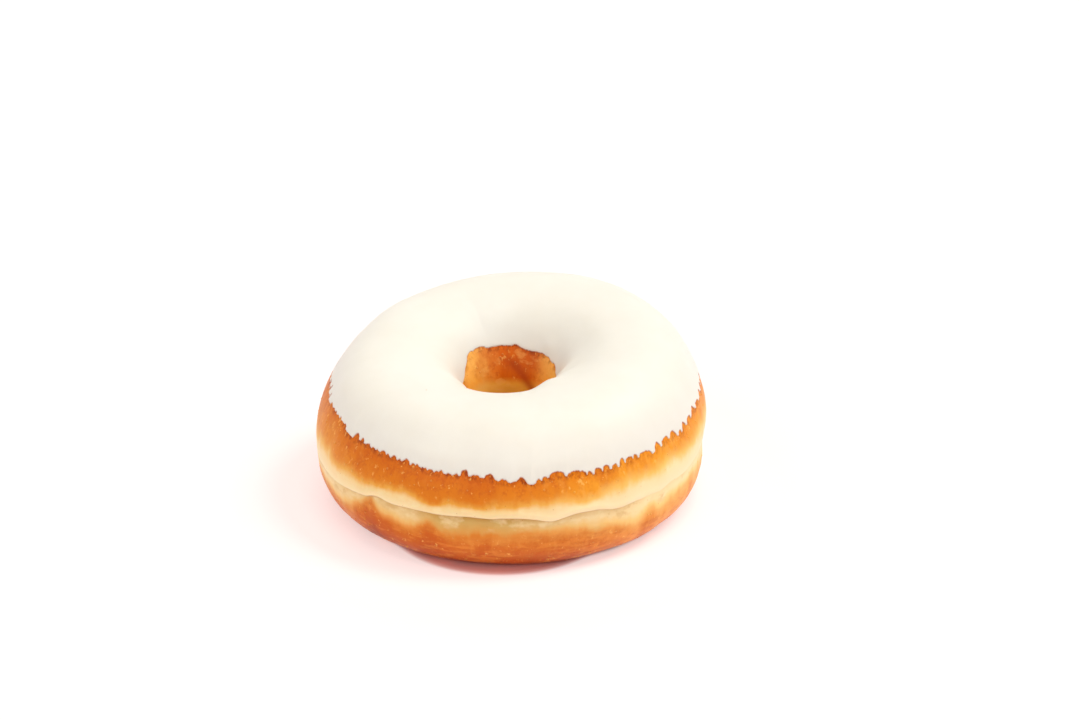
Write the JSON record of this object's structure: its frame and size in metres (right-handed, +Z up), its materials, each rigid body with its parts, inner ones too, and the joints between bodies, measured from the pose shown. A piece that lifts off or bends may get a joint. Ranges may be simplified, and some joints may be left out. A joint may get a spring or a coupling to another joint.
{
  "type": "ring doughnut",
  "caption": "Ring of fried yeast dough with a centre hole, a pale proof line round its waist and a thin poured icing cap.",
  "frame": {"origin": "on the surface the doughnut rests on, under the middle of its outline", "axes": "+Z up through the centre hole; -Y is the lower front edge, +X the right side, which rose a little more than the left"},
  "size_m": [0.09, 0.09, 0.0404],
  "materials": {
    "fried_dough": "satin",
    "white_icing": "satin"
  },
  "bodies": {
    "root": {"dough_ring": "fried_dough", "icing": "white_icing"}
  },
  "joints": []
}
